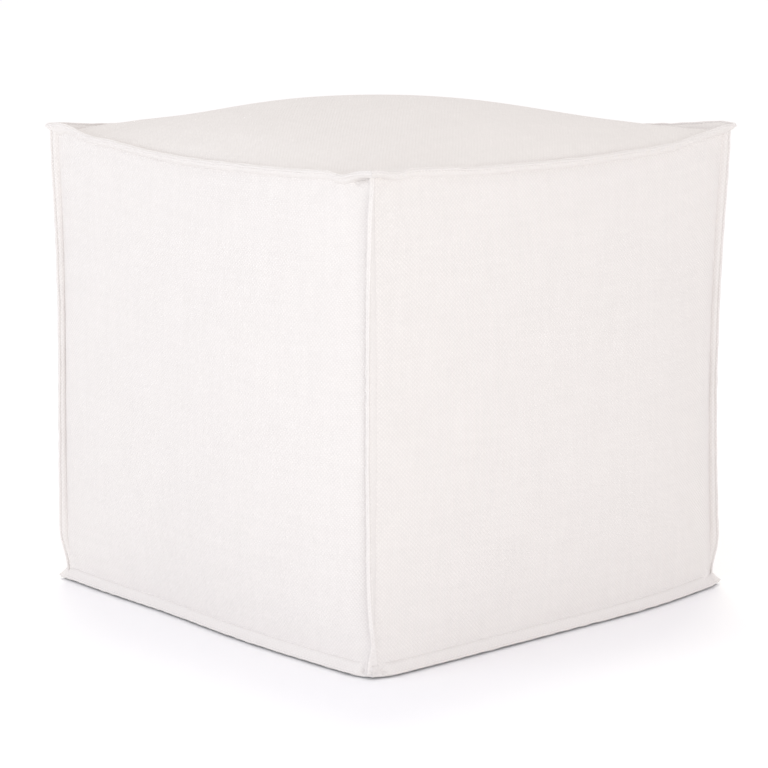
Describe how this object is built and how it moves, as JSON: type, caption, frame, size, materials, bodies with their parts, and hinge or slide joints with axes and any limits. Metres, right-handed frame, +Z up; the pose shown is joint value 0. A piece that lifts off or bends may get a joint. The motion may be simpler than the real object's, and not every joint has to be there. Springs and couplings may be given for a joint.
{
  "type": "cube pouf stool",
  "caption": "Soft filled cube pouf in ivory linen-look cloth, with a crowned top, gently swollen sides and turned-out, topstitched flange seams on every edge.",
  "frame": {"origin": "on the floor under the middle of the cube, at the bottom centre of its box", "axes": "+Z up; X and Y square to the side panels, with the front panel facing -Y and the right panel facing +X"},
  "size_m": [0.4709, 0.4769, 0.4652],
  "materials": {
    "panel_cloth": "matt ivory linen-look canvas, plain weave",
    "flange_cloth": "the same canvas, folded double and topstitched"
  },
  "bodies": {
    "root": {"filled_cube": "panel_cloth", "top_flange_front": "flange_cloth", "top_flange_back": "flange_cloth", "top_flange_left": "flange_cloth", "top_flange_right": "flange_cloth", "bottom_flange_front": "flange_cloth", "bottom_flange_back": "flange_cloth", "bottom_flange_left": "flange_cloth", "bottom_flange_right": "flange_cloth", "corner_flange_front_left": "flange_cloth", "corner_flange_front_right": "flange_cloth", "corner_flange_back_right": "flange_cloth", "corner_flange_back_left": "flange_cloth"}
  },
  "joints": []
}
